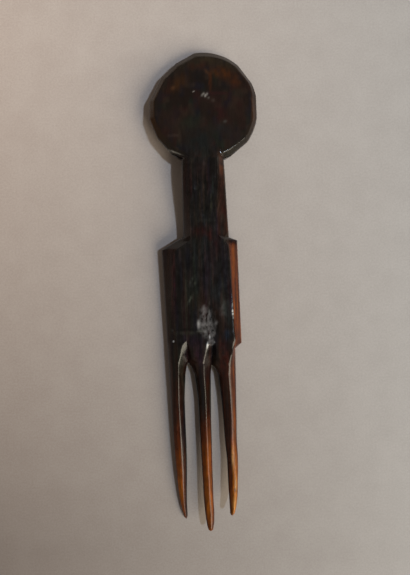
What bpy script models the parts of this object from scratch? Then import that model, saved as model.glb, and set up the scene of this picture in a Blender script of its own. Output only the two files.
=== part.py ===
"""A hair comb carved from one flat billet of dark wood, in the shape of a simple standing figure.

A bevelled disc is the head. It stands on a long neck, the neck on a square-shouldered body, and the body
runs out into three long tines. The comb lies on its back: +Z is its front, +Y its head end and -Y its tips.
Sections of the carving are worked out at distances below the line of the shoulders, and a distance above
that line is negative. Lengths are in metres.
"""
import math

import bmesh
import bpy
import numpy as np

# Head: an oval disc with a bevelled rim on both faces, tilted so that its far edge rests
head_half_width = 0.0265
head_half_height = 0.0289
head_centre_side = 0.0006
head_above_neck = 0.0260
head_tilt = math.radians(7.4)
head_rim_wall = 0.0022
head_rim_bevel_width = 0.0030
head_rim_bevel_depth = 0.0025
head_front_crown = 0.0008
head_back_crown = 0.0004

# Neck: a long bar with bevelled corners, whose front and back run on a little way over the disc
neck_length = 0.0362
neck_left_reach = 0.0102
neck_right_reach_at_head = 0.0101
neck_right_reach = 0.0121
neck_thickness_at_head = 0.0104
neck_run_on = 0.0150
neck_run_on_drop = 0.0024

# Body: the widest part, square at the shoulders, with a small lug low on its right side
shoulder_thickness = 0.0112
left_shoulder_reach = 0.0210
left_shoulder_drop = 0.0060
right_shoulder_reach = 0.0162
right_shoulder_start = 0.0005
right_shoulder_drop = 0.0020
body_length = 0.0675
root_left_reach = 0.01845
root_thickness = 0.0086
lug_reach = 0.0175
lug_drop = 0.0522
lug_step = 0.0026
ledge_drop = 0.0457
ledge_run = 0.0006
ledge_depth = 0.0008

# Tines and the slots between them, from left to right, at the plane of the tine roots
tine_names = ("tine_left", "tine_middle", "tine_right")
tine_root_widths = (0.0081, 0.0082, 0.0089)
tine_lengths = (0.0723, 0.0749, 0.0669)
tine_drifts = (0.0031, 0.0026, 0.0010)
tine_rises = (-0.0033, 0.0039, 0.0056)
slot_root_widths = (0.00425, 0.0034)
slot_heights = (0.0061, 0.0047)
groove_run_front = 0.0110
groove_run_back = 0.0080

# Fineness of the solids
ring_segments = 96
flank_segments = 4
station_pitch = 0.0030
crease_angle = math.radians(28)
cut_overrun = 0.0020
merge_reach = 0.000001

# Flats that a blade left round the disc's edge: the way that each faces, in degrees anticlockwise from the
# comb's right, and its distance from the centre as a share of the oval's reach that way
head_flat_shares = (
    (-158, 0.979), (-140, 0.972), (-120, 0.977), (-66, 0.968), (-50, 0.971), (0, 0.981),
    (34, 0.984), (120, 0.947), (136, 0.928), (155, 0.932), (180, 0.981))
disc_ring_shares = (0.35, 0.70)

# The neck's end on the disc: places along it, and how far it has dropped and how wide it still is there
run_on_shares = (
    (0.0, 0.0, 1.0), (0.35, 0.06, 0.95), (0.65, 0.24, 0.84), (0.85, 0.50, 0.70), (1.0, 1.0, 0.45))

# Shares of the neck's and body's own reach at which the front and back corners run, by distance below
# the shoulders as a share of the body's length, the neck's own share being negative
left_arris_shares = (
    (-0.54, 0.59), (0.0, 0.66), (0.03, 0.47), (0.09, 0.62), (0.14, 0.71),
    (0.38, 0.735), (0.70, 0.745), (0.83, 0.715))
right_arris_shares = (
    (-0.54, 0.66), (0.0, 0.54), (0.03, 0.59), (0.07, 0.71), (0.18, 0.735), (0.38, 0.757),
    (0.66, 0.785), (0.74, 0.815), (0.775, 0.775), (0.815, 0.90), (0.91, 0.82))

# Height of the side walls, and the level of their middle, as shares of the thickness; the places along the
# neck and body are given as above
wall_shares = ((-0.54, 0.32), (0.0, 0.32), (0.09, 0.24), (1.0, 0.22))
wall_level_shares = ((-0.54, 0.50), (0.0, 0.50), (0.09, 0.38), (1.0, 0.42))

# Each tine's ridge across its root, and its width, thickness and sideways drift from root to tip
ridge_shares = (0.61, 0.61, 0.66)
slot_apex_shares = (0.28, 0.12)
tine_width_shares = (
    ((0.0, 1.0), (0.17, 0.86), (0.32, 0.82), (0.46, 0.79), (0.60, 0.72),
     (0.74, 0.60), (0.88, 0.43), (0.95, 0.31), (0.985, 0.18), (1.0, 0.07)),
    ((0.0, 1.0), (0.16, 0.80), (0.30, 0.735), (0.43, 0.69), (0.55, 0.635),
     (0.68, 0.605), (0.81, 0.57), (0.90, 0.525), (0.97, 0.38), (1.0, 0.12)),
    ((0.0, 1.0), (0.19, 0.83), (0.33, 0.74), (0.47, 0.67), (0.61, 0.61),
     (0.76, 0.545), (0.90, 0.42), (0.96, 0.30), (0.99, 0.17), (1.0, 0.08)))
tine_drift_shares = (
    ((0.0, 0.0), (0.17, 0.0), (0.31, 0.10), (0.45, 0.21), (0.58, 0.32),
     (0.72, 0.42), (0.87, 0.57), (0.94, 0.74), (1.0, 0.97)),
    ((0.0, 0.0), (0.16, 0.26), (0.30, 0.33), (0.43, 0.44), (0.55, 0.53),
     (0.68, 0.64), (0.81, 0.75), (0.90, 0.92), (1.0, 1.04)),
    ((0.0, 0.0), (0.19, 0.75), (0.33, 1.12), (0.47, 1.32), (0.61, 1.90),
     (0.76, 1.93), (0.90, 1.80), (0.96, 1.48), (1.0, 1.05)))
tine_thickness_shares = (
    (0.0, 1.0), (0.12, 0.84), (0.30, 0.71), (0.60, 0.57),
    (0.85, 0.42), (0.95, 0.32), (0.985, 0.20), (1.0, 0.08))
tine_rise_powers = (3.5, 2.2, 2.2)
flank_round_share = 0.62
groove_power = 0.55
wall_spread_power = 0.7

# Places worked out from the sizes above
head_centre_up = neck_length + head_above_neck
head_face_half = head_rim_wall / 2 + head_rim_bevel_depth
head_centre_height = ((head_half_height - head_rim_bevel_width) * math.sin(head_tilt)
                      + head_face_half * math.cos(head_tilt))
head_end_height = head_centre_height + head_above_neck * math.tan(head_tilt)
slot_depths = tuple(body_length - height for height in slot_heights)
root_edges = np.cumsum([-root_left_reach, tine_root_widths[0], slot_root_widths[0],
                        tine_root_widths[1], slot_root_widths[1], tine_root_widths[2]])
root_lefts = root_edges[0::2]
root_rights = root_edges[1::2]
root_ridges = root_lefts + np.array(ridge_shares) * np.array(tine_root_widths)
slot_apexes = root_rights[:2] + np.array(slot_apex_shares) * np.array(slot_root_widths)
head_top = head_centre_up + head_half_height * math.cos(head_tilt)
tip_bottom = body_length + max(tine_lengths)
comb_origin = (-head_centre_side, (tip_bottom - head_top) / 2, 0)
block_reach = 2 * head_half_height


def on_curve(table, place):
    """Value at a place on a smooth curve through a table of (place, value) pairs."""
    places, values = (np.array(column) for column in zip(*table))
    slopes = np.gradient(values, places)
    index = int(np.clip(np.searchsorted(places, place) - 1, 0, len(places) - 2))
    span = places[index + 1] - places[index]
    t = np.clip((place - places[index]) / span, 0, 1)
    rise = values[index + 1] - values[index]
    start = slopes[index] * span - rise
    end = rise - slopes[index + 1] * span
    return float(values[index] + rise * t + t * (1 - t) * (start * (1 - t) + end * t))


def on_lines(points, place):
    """Value at a place on straight lines through (place, value) points."""
    places, values = zip(*points)
    return float(np.interp(place, places, values))


def left_edge(below):
    return on_lines(((-neck_length, -neck_left_reach), (0, -neck_left_reach),
                     (left_shoulder_drop, -left_shoulder_reach), (body_length, -root_left_reach)), below)


def right_edge(below):
    return on_lines(((-neck_length, neck_right_reach_at_head), (0, neck_right_reach),
                     (right_shoulder_start, neck_right_reach),
                     (right_shoulder_drop, right_shoulder_reach), (lug_drop, lug_reach),
                     (lug_drop + lug_step, root_rights[2]), (body_length, root_rights[2])), below)


def arris(below, edge, shares, root_ridge):
    """Sideways place of the corner between the front and a side bevel, which ends as a tine's ridge."""
    points = [(place * body_length, share) for place, share in shares]
    points.append((body_length, root_ridge / edge(body_length)))
    return edge(below) * on_lines(points, below)


def walls(back, front, place):
    """Bottom and top of a side wall between a back and a front, at a place along the neck and body."""
    level = back + (front - back) * on_lines(wall_level_shares, place)
    half = (front - back) / 2 * on_lines(wall_shares, place)
    return level - half, level + half


def levels(below):
    """Heights of the trunk's back and front: flat below along the body, and arched up to the tilted head."""
    if below > 0:
        return 0, shoulder_thickness + (root_thickness - shoulder_thickness) * below / body_length
    t = min(-below / neck_length, 1)
    thickness = shoulder_thickness + (neck_thickness_at_head - shoulder_thickness) * t
    rise = (head_end_height - shoulder_thickness / 2) * t * t * (3 - 2 * t)
    arch = neck_length * math.tan(head_tilt) * t * t * (1 - t)
    middle = shoulder_thickness / 2 + rise + arch
    return middle - thickness / 2, middle + thickness / 2


def groove_sink(below, slot, run):
    """How far a groove has sunk from the face to the slot's edge: 0 at its start, 1 at the slot's apex."""
    t = np.clip((below - slot_depths[slot] + run) / run, 0, 1)
    return float(t ** groove_power)


def slot_sides(below, slot):
    """Left and right side of a slot, which are one line above its apex."""
    t = np.clip((below - slot_depths[slot]) / slot_heights[slot], 0, 1) ** wall_spread_power
    apex = slot_apexes[slot]
    left, right = (apex + (side - apex) * t for side in (root_rights[slot], root_lefts[slot + 1]))
    return left, right


def outer_arrises(below):
    """Sideways places of the front's left and right corners, which end as the outer tines' ridges."""
    return (arris(below, left_edge, left_arris_shares, root_ridges[0]),
            arris(below, right_edge, right_arris_shares, root_ridges[2]))


def trunk_lines(below):
    """The nine lines that run down the trunk's face: for each tine to come, its left, ridge and right."""
    left_arris, right_arris = outer_arrises(below)
    marks = [slot_sides(below, slot) for slot in (0, 1)]
    if below < min(slot_depths):
        low, high = outer_arrises(min(slot_depths))
        shares = [(apex - low) / (high - low) for apex in slot_apexes]
        marks = [(left_arris + share * (right_arris - left_arris),) * 2 for share in shares]
    t = np.clip((below - ledge_drop) / (body_length - ledge_drop), 0, 1)
    centre = (marks[0][1] + marks[1][0]) / 2
    middle_ridge = centre + (root_ridges[1] - (root_lefts[1] + root_rights[1]) / 2) * t
    return ((left_edge(below), left_arris, marks[0][0]),
            (marks[0][1], middle_ridge, marks[1][0]),
            (marks[1][1], right_arris, right_edge(below)))


def flank(low, high, full):
    """Points from a tine's edge up to its ridge: straight on the trunk, rounded where a tine stands free."""
    steps = np.linspace(0, 1, flank_segments + 1)
    bend = steps + full * flank_round_share * steps * (1 - steps)
    return [(low[0] + (high[0] - low[0]) * u, low[1] + (high[1] - low[1]) * v) for u, v in zip(steps, bend)]


def slot_flank(line, ridge, depth, sink):
    """Points from a slot's line up to the rim of its groove, and on over the face to the ridge.

    The face runs straight from the line to the ridge. As the groove sinks, the line drops towards the depth
    and the rim moves over the face from the line to the ridge.
    """
    rim = tuple(start + (end - start) * sink for start, end in zip(line, ridge))
    bottom = (line[0], line[1] + (depth - line[1]) * sink)
    return flank(bottom, rim, sink) + [ridge]


def trunk_rows(below):
    """Front and back rows of the trunk at one station, one pair for each tine to come."""
    back, front = levels(below)
    low, high = walls(back, front, below / body_length)
    ledge = ledge_depth * np.clip((below - ledge_drop) / ledge_run, 0, 1)
    fade = 1 - np.clip((below - ledge_drop) / (body_length - ledge_drop), 0, 1)
    faces = []
    for face, edge, run, step in ((front, high, groove_run_front, ledge * fade),
                                  (back, low, groove_run_back, 0)):
        sinks = [groove_sink(below, slot, run) for slot in (0, 1)]
        rows = []
        for tine, (left, ridge, right) in enumerate(trunk_lines(below)):
            top = (ridge, face - step / 2 if tine == 1 else face)
            sides = []
            for slot, place in ((tine - 1, left), (tine, right)):
                if slot in (0, 1):
                    line = (place, face - step if slot == 0 else face)
                    sides.append(slot_flank(line, top, edge, sinks[slot]))
                else:
                    sides.append(flank((place, edge), top, max(sinks)))
            rows.append(sides[0] + sides[1][::-1][1:])
        faces.append(rows)
    return list(zip(*faces))


def stations(start, end, marks):
    """Distances from start to end that include the marks, no further apart than the pitch."""
    kept = sorted({start, end, *(mark for mark in marks if start < mark < end)})
    places = [start]
    for low, high in zip(kept, kept[1:]):
        count = max(1, math.ceil((high - low) / station_pitch))
        places.extend(low + (high - low) * step / count for step in range(1, count + 1))
    return places


def add_face(mesh, corners):
    """Adds a face through the corners, leaving out any that coincide."""
    kept = [corner for index, corner in enumerate(corners)
            if (corner.co - corners[index - 1].co).length > merge_reach]
    if len(kept) > 2:
        mesh.faces.new(kept)


def add_strip(mesh, row, next_row):
    """Adds the faces between two rows of corners."""
    for index in range(len(row) - 1):
        add_face(mesh, (row[index], row[index + 1], next_row[index + 1], next_row[index]))


def finish(mesh, name, origin, material):
    """Makes an object of a mesh, with its faces outwards, joined corners and smooth shading."""
    bmesh.ops.remove_doubles(mesh, verts=mesh.verts, dist=merge_reach)
    bmesh.ops.recalc_face_normals(mesh, faces=mesh.faces)
    data = bpy.data.meshes.new(name)
    mesh.to_mesh(data)
    mesh.free()
    data.shade_smooth()
    data.set_sharp_from_angle(angle=crease_angle)
    made = bpy.data.objects.new(name, data)
    made.location = origin
    made.parent = comb
    bpy.context.scene.collection.objects.link(made)
    if material:
        data.materials.append(material)
    return made


def wood(name, colour, roughness):
    """A wood finish for one piece."""
    made = bpy.data.materials.new(name)
    made.use_nodes = True
    shader = made.node_tree.nodes["Principled BSDF"]
    shader.inputs["Base Color"].default_value = (*colour, 1)
    shader.inputs["Roughness"].default_value = roughness
    shader.inputs["Metallic"].default_value = 0
    return made


def trunk(name, start, end, marks, material):
    """A stretch of the trunk between two stations; slots open in it below their apexes."""
    mesh = bmesh.new()
    places = stations(start, end, marks)
    rows = []
    for below in places:
        station = []
        for pair in trunk_rows(below):
            station.append([[mesh.verts.new((x, start - below, z)) for x, z in face] for face in pair])
        rows.append(station)
    for index, below in enumerate(places[:-1]):
        here, there = rows[index], rows[index + 1]
        for tine in range(len(here)):
            for face in (0, 1):
                add_strip(mesh, here[tine][face], there[tine][face])
            for side, slot in ((0, tine - 1), (-1, tine)):
                outer = slot not in (0, 1)
                if outer or below >= slot_depths[slot] - merge_reach:
                    add_strip(mesh, [face[side] for face in here[tine]], [face[side] for face in there[tine]])
    for station, place in ((rows[0], start), (rows[-1], end)):
        parts = [[front, back] for front, back in station]
        if place < min(slot_depths):
            joined = [[corner for part in parts for corner in part[face]] for face in (0, 1)]
            parts = [joined]
        for front, back in parts:
            add_face(mesh, front + back[::-1])
    return finish(mesh, name, (0, -start, 0), material)


def tine_ring(tine, t):
    """Ring of a tine's section at a share t of its length, with its front row first."""
    width = tine_root_widths[tine] * on_curve(tine_width_shares[tine], t)
    drift = tine_drifts[tine] * on_curve(tine_drift_shares[tine], t)
    thickness = root_thickness * on_curve(tine_thickness_shares, t)
    middle = root_thickness / 2 + tine_rises[tine] * t ** tine_rise_powers[tine]
    centre = (root_lefts[tine] + root_rights[tine]) / 2 + drift
    left = centre - width / 2
    ridge = left + width * ridge_shares[tine]
    back, front = middle - thickness / 2, middle + thickness / 2
    low, high = walls(back, front, 1)
    return [flank((left, edge), (ridge, face), 1) + flank((left + width, edge), (ridge, face), 1)[::-1][1:]
            for edge, face in ((high, front), (low, back))]


def tine(index, material):
    """One tine: rounded sections with a ridge down the front, carried from its root to its tip."""
    mesh = bmesh.new()
    length = tine_lengths[index]
    marks = [share * length for share, _ in tine_width_shares[index]]
    rings = []
    for place in stations(0, length, marks):
        front, back = tine_ring(index, place / length)
        rings.append([mesh.verts.new((x, -place, z)) for x, z in front + back[::-1]])
    for ring, next_ring in zip(rings, rings[1:]):
        add_strip(mesh, ring + ring[:1], next_ring + next_ring[:1])
    add_face(mesh, rings[0])
    add_face(mesh, rings[-1])
    return finish(mesh, tine_names[index], (0, -body_length, 0), material)


def oval_reach(angle):
    """Distance from the disc's centre to the oval that its edge was cut from."""
    return 1 / math.hypot(math.cos(angle) / head_half_width, math.sin(angle) / head_half_height)


def disc_reach(angle):
    """Distance from the disc's centre to its edge: the oval, pared by a blade to a ring of short flats."""
    reach = oval_reach(angle)
    for degrees, share in head_flat_shares:
        facing = math.radians(degrees)
        turn = math.cos(angle - facing)
        if turn > 0:
            reach = min(reach, share * oval_reach(facing) / turn)
    return reach


def disc():
    """The disc of the head, before it is joined to the neck: rings from the back's centre to the front's."""
    mesh = bmesh.new()
    wall = head_rim_wall / 2
    profile = [(-head_face_half - head_back_crown * (1 - share ** 2), share, 1) for share in disc_ring_shares]
    profile += [(-head_face_half, 1, 1), (-wall, 1, 0), (wall, 1, 0), (head_face_half, 1, 1)]
    profile += [(head_face_half + head_front_crown * (1 - share ** 2), share, 1)
                for share in disc_ring_shares[::-1]]
    rings = []
    for height, share, inset in profile:
        ring = []
        for step in range(ring_segments):
            angle = 2 * math.pi * step / ring_segments
            reach = share * (disc_reach(angle) - inset * head_rim_bevel_width)
            ring.append(mesh.verts.new((reach * math.cos(angle), reach * math.sin(angle), height)))
        rings.append(ring)
    for ring, next_ring in zip(rings, rings[1:]):
        add_strip(mesh, ring + ring[:1], next_ring + next_ring[:1])
    for ring, height in ((rings[0], -head_face_half - head_back_crown),
                         (rings[-1], head_face_half + head_front_crown)):
        centre = mesh.verts.new((0, 0, height))
        for index in range(ring_segments):
            mesh.faces.new((ring[index - 1], ring[index], centre))
    return mesh


def run_on():
    """The neck's end on the disc: the neck's own section, which drops and draws in to a round nose."""
    mesh = bmesh.new()
    below = -neck_length
    arrises = outer_arrises(below)
    lines = (left_edge(below), *arrises, right_edge(below))
    half = neck_thickness_at_head / 2
    wall = half * on_lines(wall_shares, below / body_length)
    rings = []
    for along, drop, narrow in ((-cut_overrun, 0, 1), *((share * neck_run_on, drop * neck_run_on_drop, narrow)
                                                        for share, drop, narrow in run_on_shares)):
        middle = head_end_height - max(along, 0) * math.tan(head_tilt)
        face, edge = half - drop, min(wall, half - drop)
        front = [(x * narrow, middle + z) for x, z in zip(lines, (edge, face, face, edge))]
        back = [(x * narrow, middle - z) for x, z in zip(lines, (edge, face, face, edge))]
        rings.append([mesh.verts.new((x, along, z)) for x, z in front + back[::-1]])
    for ring, next_ring in zip(rings, rings[1:]):
        add_strip(mesh, ring + ring[:1], next_ring + next_ring[:1])
    mesh.faces.new(rings[0])
    mesh.faces.new(rings[-1])
    return mesh


def cut_block():
    """A block that takes away everything of the head on the neck's side of their common plane."""
    mesh = bmesh.new()
    bmesh.ops.create_cube(mesh, size=2 * block_reach)
    for corner in mesh.verts:
        corner.co.y -= block_reach
    return mesh


def head(material):
    """The tilted disc, joined to the neck's run-on and cut square where the neck begins."""
    made = finish(disc(), "head", (head_centre_side, head_centre_up, head_centre_height), material)
    made.rotation_euler = (-head_tilt, 0, 0)
    neck_end = (0, neck_length, 0)
    for tool, operation in ((finish(run_on(), "neck_run_on_guide", neck_end, None), "UNION"),
                            (finish(cut_block(), "head_end_cutter", neck_end, None), "DIFFERENCE")):
        tool.hide_render = True
        tool.display_type = "WIRE"
        step = made.modifiers.new(tool.name, "BOOLEAN")
        step.operation = operation
        step.solver = "EXACT"
        step.object = tool
    return made


for old in list(bpy.data.objects):
    bpy.data.objects.remove(old)

comb = bpy.data.objects.new("comb", None)
comb.location = comb_origin
bpy.context.scene.collection.objects.link(comb)

head(wood("head_dark_polished_wood", (0.012, 0.009, 0.007), 0.32))
trunk("neck", -neck_length, 0, (), wood("neck_dark_polished_wood", (0.010, 0.008, 0.007), 0.35))
body_marks = (left_shoulder_drop, right_shoulder_start, right_shoulder_drop, ledge_drop,
              ledge_drop + ledge_run, lug_drop, lug_drop + lug_step, *slot_depths,
              *(depth - groove_run_front for depth in slot_depths))
trunk("body", 0, body_length, body_marks, wood("body_dark_worn_wood", (0.010, 0.008, 0.007), 0.38))
tine(0, wood("tine_left_reddish_wood", (0.060, 0.022, 0.010), 0.34))
tine(1, wood("tine_middle_reddish_wood", (0.085, 0.032, 0.012), 0.34))
tine(2, wood("tine_right_honey_wood", (0.140, 0.060, 0.020), 0.34))
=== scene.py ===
import math
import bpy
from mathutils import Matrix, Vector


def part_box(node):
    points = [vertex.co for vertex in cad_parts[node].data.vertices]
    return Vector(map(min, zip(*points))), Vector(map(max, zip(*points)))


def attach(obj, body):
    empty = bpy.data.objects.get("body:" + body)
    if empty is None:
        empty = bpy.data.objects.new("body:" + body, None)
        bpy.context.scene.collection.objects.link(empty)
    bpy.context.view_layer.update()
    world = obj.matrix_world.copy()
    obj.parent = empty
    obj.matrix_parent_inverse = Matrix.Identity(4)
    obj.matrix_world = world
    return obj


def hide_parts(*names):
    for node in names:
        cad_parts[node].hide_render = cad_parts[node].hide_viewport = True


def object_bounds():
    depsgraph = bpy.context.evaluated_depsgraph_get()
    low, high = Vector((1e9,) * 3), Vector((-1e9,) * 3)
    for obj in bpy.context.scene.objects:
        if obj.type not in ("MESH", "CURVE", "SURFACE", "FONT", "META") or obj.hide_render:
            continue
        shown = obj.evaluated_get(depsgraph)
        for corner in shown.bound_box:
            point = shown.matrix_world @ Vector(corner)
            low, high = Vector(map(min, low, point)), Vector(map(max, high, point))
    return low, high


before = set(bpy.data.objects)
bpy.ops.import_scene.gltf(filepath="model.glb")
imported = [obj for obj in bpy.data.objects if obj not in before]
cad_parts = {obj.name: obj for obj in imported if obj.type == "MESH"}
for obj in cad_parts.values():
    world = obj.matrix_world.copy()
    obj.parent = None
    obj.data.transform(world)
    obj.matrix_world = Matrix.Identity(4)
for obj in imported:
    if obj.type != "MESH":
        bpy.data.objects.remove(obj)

from types import SimpleNamespace

import bmesh
import bpy
import numpy as np
from mathutils import Vector

# The comb is one carving, so one continuous skin stands for all its solids. Sizes are in metres, and
# "below" is a distance below the line of the shoulders, negative above it. A table of (place, value) points
# is read by straight lines or a smooth curve. A spot is an oval in millimetres: its place across and below,
# half width, half length and, if it leans, how far sideways per millimetre down.

cad_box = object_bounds()
mm = 0.001

# Places read from the model's parts, and how far the comb's own middle line lies to the side of the parts'
# middle
neck_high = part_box("neck")[1]
body_low, body_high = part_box("body")
tine_nodes = ("tine_left", "tine_middle", "tine_right")
shoulder_y = body_high[1]
body_length = body_high[1] - body_low[1]
neck_length = neck_high[1] - body_high[1]
tine_lengths = [body_low[1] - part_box(node)[0][1] for node in tine_nodes]
side_shift = -0.6 * mm

# Head: an oval disc with a bevelled rim on both faces, pared to short flats, tilted to rest on its far edge
head_half_width = 26.5 * mm
head_half_height = 28.9 * mm
head_above_neck = 26 * mm
head_rim_bevel = 3 * mm
head_tilt = math.radians(7.4)
head_rim_half = 1.1 * mm
head_face_half = 3.6 * mm
head_front_crown = 0.8 * mm
head_back_crown = 0.4 * mm
head_centre_below = -neck_length - head_above_neck
head_centre_height = ((head_half_height - head_rim_bevel) * math.sin(head_tilt)
                      + head_face_half * math.cos(head_tilt))
head_end_height = head_centre_height + head_above_neck * math.tan(head_tilt)

# Round the disc, by the way its edge faces in degrees: how far out each flat lies as a share of the oval,
# the width of the rim's bevel in millimetres, and how soft its fold is
head_flat_shares = (
    (-158, 0.979), (-140, 0.972), (-120, 0.977), (-66, 0.968), (-50, 0.971), (0, 0.981),
    (34, 0.984), (120, 0.947), (136, 0.928), (155, 0.932), (180, 0.981))
rim_bevels = (
    (-180, 2.9), (-150, 3.4), (-125, 3.6), (-80, 2.3), (-60, 2.1), (-45, 1.8), (-30, 1.8), (0, 2.5),
    (30, 2.2), (60, 2.9), (90, 4), (125, 3.8), (150, 3.1), (180, 2.9))
rim_softness = (
    (-180, 0.22), (-140, 0.2), (-110, 0.12), (-80, 0.11), (-58, 0.11), (-53, 0.02), (-35, 0.02),
    (-10, 0.1), (60, 0.3), (120, 0.45), (180, 0.22))

# How far ahead of the neck's end the disc's section takes over, at the neck's sides and at its middle
takeover_at_side = 1.4 * mm
takeover_at_middle = 5.4 * mm
neck_side_width = 2.4 * mm

# Neck and body. The arrises are the corners of the face: places as shares of the body's length, and how far
# out they lie as shares of the edge's reach.
neck_left_reach = 10.2 * mm
neck_right_reach = 10.1 * mm
neck_thickness_at_head = 10.4 * mm
swell_width = 9 * mm
swell_reach = 11 * mm
shoulder_thickness = 11.2 * mm
root_thickness = 8.6 * mm
root_left_reach = 18.45 * mm
ledge_drop = 45.7 * mm
ledge_depth = 0.22 * mm
ledge_start, ledge_end = -0.3 * mm, 1.3 * mm
arris_easing = 0.9 * mm
arris_run_out = 3 * mm
left_arris_shares = (
    (-0.54, 0.59), (0, 0.66), (0.03, 0.47), (0.09, 0.62), (0.14, 0.71),
    (0.38, 0.735), (0.7, 0.745), (0.83, 0.715))
right_arris_shares = (
    (-0.54, 0.66), (0, 0.54), (0.03, 0.59), (0.07, 0.71), (0.18, 0.735), (0.38, 0.757),
    (0.66, 0.785), (0.74, 0.815), (0.775, 0.775), (0.815, 0.9), (0.91, 0.82))
wall_shares = ((-0.54, 0.32), (0, 0.32), (0.09, 0.24), (1, 0.22))
wall_level_shares = ((-0.54, 0.5), (0, 0.5), (0.09, 0.38), (1, 0.42))

# Tines and slots, from left to right. A groove on each side, front 1 and back -1, runs into each slot.
root_widths = (8.1 * mm, 8.2 * mm, 8.9 * mm)
slot_widths = (4.25 * mm, 3.4 * mm)
slot_heights = (6.1 * mm, 4.7 * mm)
tine_drifts = (3.1 * mm, 2.6 * mm, 1 * mm)
tine_rises = (-3.3 * mm, 3.9 * mm, 5.6 * mm)
tine_rise_powers = (3.5, 2.2, 2.2)
ridge_shares = (0.61, 0.61, 0.66)
apex_shares = (0.28, 0.12)
middle_ridge_start_share = 0.83
groove_runs = {1: 11 * mm, -1: 8 * mm}
groove_powers = (0.8, 0.3)
slot_power = 0.7
flank_round_share = 0.62
tine_edge_share = 0.3
width_shares = (
    ((0, 1), (0.17, 0.86), (0.32, 0.82), (0.46, 0.79), (0.6, 0.72),
     (0.74, 0.6), (0.88, 0.43), (0.95, 0.31), (0.985, 0.18), (1, 0)),
    ((0, 1), (0.16, 0.8), (0.3, 0.735), (0.43, 0.69), (0.55, 0.635), (0.68, 0.605),
     (0.81, 0.57), (0.9, 0.525), (0.968, 0.38), (0.987, 0.29), (0.995, 0.205), (1, 0)),
    ((0, 1), (0.19, 0.83), (0.33, 0.74), (0.47, 0.67), (0.61, 0.61),
     (0.76, 0.545), (0.9, 0.42), (0.96, 0.3), (0.99, 0.17), (1, 0)))
drift_shares = (
    ((0, 0), (0.17, 0), (0.31, 0.1), (0.45, 0.21), (0.58, 0.32),
     (0.72, 0.42), (0.87, 0.57), (0.94, 0.74), (1, 0.97)),
    ((0, 0), (0.16, 0.26), (0.3, 0.33), (0.43, 0.44), (0.55, 0.53),
     (0.68, 0.64), (0.81, 0.75), (0.9, 0.92), (1, 1.04)),
    ((0, 0), (0.19, 0.75), (0.33, 1.12), (0.47, 1.32), (0.61, 1.9),
     (0.76, 1.93), (0.9, 1.8), (0.96, 1.48), (1, 1.05)))
thickness_shares = (
    (0, 1), (0.12, 0.84), (0.3, 0.71), (0.6, 0.57),
    (0.85, 0.42), (0.95, 0.32), (0.985, 0.2), (1, 0))
root_edges = np.cumsum([-root_left_reach, root_widths[0], slot_widths[0],
                        root_widths[1], slot_widths[1], root_widths[2]])
root_lefts, root_rights = root_edges[0::2], root_edges[1::2]
root_ridges = root_lefts + np.array(ridge_shares) * np.array(root_widths)
slot_depths = [body_length - height for height in slot_heights]
slot_apexes = root_rights[:2] + np.array(apex_shares) * np.array(slot_widths)

# Edges of the neck and body as tables of distances below and reaches. The right one has a small lug, which
# steps in to the right tine.
left_edge = ((-neck_length, -neck_left_reach), (0, -neck_left_reach), (6 * mm, -21 * mm),
             (body_length, -root_left_reach))
right_edge = ((-neck_length, neck_right_reach), (0, 12.1 * mm), (0.5 * mm, 12.1 * mm), (2 * mm, 16.2 * mm),
              (52.2 * mm, 17.5 * mm), (54.8 * mm, root_rights[2]), (body_length, root_rights[2]))
edge_corners = [below for below, _ in left_edge + right_edge]

# Worn edges: radius of the outline's edge, and how soft the arrises and ridges are, left one first
edge_radius = 0.6 * mm
least_softness = 0.0005
arris_softness = (((0, 0), (0.76, 0), (0.88, 0.13), (1, 0.13)),
                  ((0, 0), (0.4, 0), (0.5, 0.09), (0.85, 0.35), (1, 0.75)))
ridge_softness = ((0.13, 0.16), (0.13, 0.2), (0.13, 0.75))
tip_softness = 0.18
tip_softening = (0.4, 0.9)
right_flank_bends = ((0, -0.2), (0.3, 0), (0.7, 0.3), (1, 0.4))

# Walls of the grooves that lead into the slots. For each slot, left wall first and as the groove sinks: how
# soft the wall's rim is, how full its bend is, and how far across it reaches
left_wall_bend = ((0, 0), (0.65, 0), (0.8, -0.2), (1, -0.2))
right_wall = (((0, 0.1), (1, 0.13)), ((0, 0.9), (1, 1)), ((0, 0.5), (0.85, 0.45), (1, 1)))
groove_walls = (
    ((((0, 0.22), (0.6, 0.22), (0.85, 0.16), (1, 0.16)), left_wall_bend,
      ((0, 1.75), (0.28, 1.68), (0.42, 1.38), (0.55, 1.21), (0.68, 1.07), (0.83, 1), (1, 1))),
     right_wall),
    ((((0, 0.35), (0.6, 0.3), (0.8, 0.2), (1, 0.2)), left_wall_bend,
      ((0, 5), (0.2, 4.6), (0.3, 3.1), (0.4, 2.35), (0.5, 1.9), (0.6, 1.6), (0.8, 1.22), (1, 1))),
     right_wall))

# Unevenness left by the knife, as layers of drifting noise: strength, pitch across and down, all in
# millimetres, and seed
knife_strokes = ((0.06, 2.6, 30, 3), (0.05, 5.5, 38, 7))
knife_dabs = ((0.13, 8, 10, 11), (0.035, 2.6, 4.5, 15))
knife_knobs = ((0.07, 1.5, 4.5, 19),)

# Small hollows in the front: spots with their depths in millimetres
hollows = (
    (0.4, -11.2, 2.6, 2.4, 0.16), (1.2, -9.4, 1.6, 0.9, 0.08), (1, 42, 3.8, 9, 0.22),
    (3.4, 38, 1.3, 2.4, 0.14), (-2.6, 43.5, 0.8, 2.2, 0.16), (8.4, 36, 1.2, 3.6, 0.1),
    (-6, 21.5, 0.5, 3.2, 0.1), (-7.3, 30.4, 0.6, 2.6, 0.08), (3.9, -16.8, 0.4, 3.6, 0.08),
    (-3.4, -21.9, 0.7, 1.4, 0.08), (0.6, -33, 0.5, 1.4, 0.1), (12.6, 121.9, 0.7, 1, 0.25))

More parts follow.
